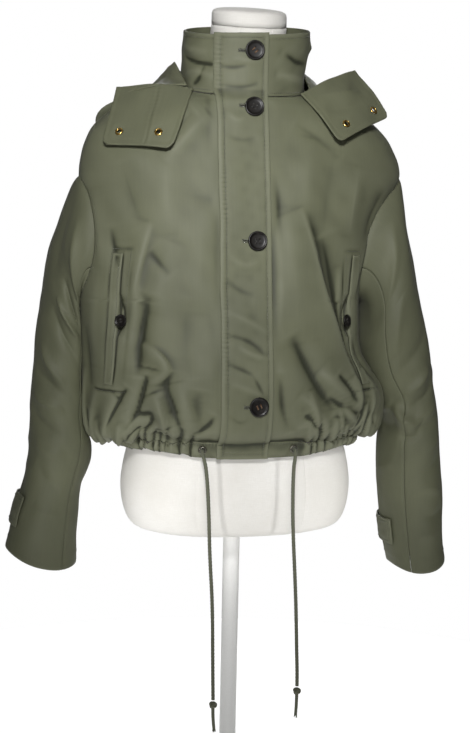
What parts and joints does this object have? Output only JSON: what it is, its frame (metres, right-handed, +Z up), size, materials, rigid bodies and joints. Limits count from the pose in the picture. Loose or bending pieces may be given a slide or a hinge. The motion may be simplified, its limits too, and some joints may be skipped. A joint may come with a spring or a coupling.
{
  "type": "utility jacket on a dress form",
  "caption": "Cropped utility jacket with stand collar, storm flap, hood folded down over the shoulders and a drawstring hem, worn by a limbless dress form on a pole with a round base.",
  "frame": {"origin": "centre of the underside of the stand's round base, where the dress form stands on the floor", "axes": "+Z up; the jacket's front faces -Y; the wearer's right side is at -X"},
  "size_m": [0.678, 0.3729, 1.2257],
  "materials": {
    "olive_cotton": "washed cotton twill in dull olive green, fine weave, soft sheen",
    "horn_button": "dark brown imitation horn, polished, dished with a raised rim",
    "brass_eyelet": "pressed brass eyelet, lacquered",
    "gunmetal_eyelet": "pressed eyelet with a dull gunmetal plating",
    "braided_cord": "round braided cotton cord in olive green, with a dull surface",
    "form_linen": "off-white linen stretched smooth over the dress form",
    "stand_paint": "white powder-coated steel, satin"
  },
  "bodies": {
    "root": {"front_right": "olive_cotton", "front_left": "olive_cotton", "back": "olive_cotton", "hem_casing": "olive_cotton", "collar": "olive_cotton", "storm_flap": "olive_cotton", "sleeve_right_outer": "olive_cotton", "sleeve_right_inner": "olive_cotton", "sleeve_left_outer": "olive_cotton", "sleeve_left_inner": "olive_cotton", "cuff_strap_right": "olive_cotton", "cuff_strap_left": "olive_cotton", "pocket_welt_right": "olive_cotton", "pocket_welt_left": "olive_cotton", "hood": "olive_cotton", "hood_flap_right": "olive_cotton", "hood_flap_left": "olive_cotton", "button_1": "horn_button", "button_2": "horn_button", "button_3": "horn_button", "button_4": "horn_button", "pocket_button_right": "horn_button", "pocket_button_left": "horn_button", "hood_eyelet_1": "brass_eyelet", "hood_eyelet_2": "brass_eyelet", "hood_eyelet_3": "brass_eyelet", "hood_eyelet_4": "brass_eyelet", "hem_eyelet_right": "gunmetal_eyelet", "hem_eyelet_left": "gunmetal_eyelet", "drawcord_right": "braided_cord", "drawcord_left": "braided_cord", "knot_right": "braided_cord", "knot_left": "braided_cord", "form_torso": "form_linen", "form_neck_cap": "form_linen", "stand_base": "stand_paint", "stand_pole": "stand_paint"}
  },
  "joints": []
}
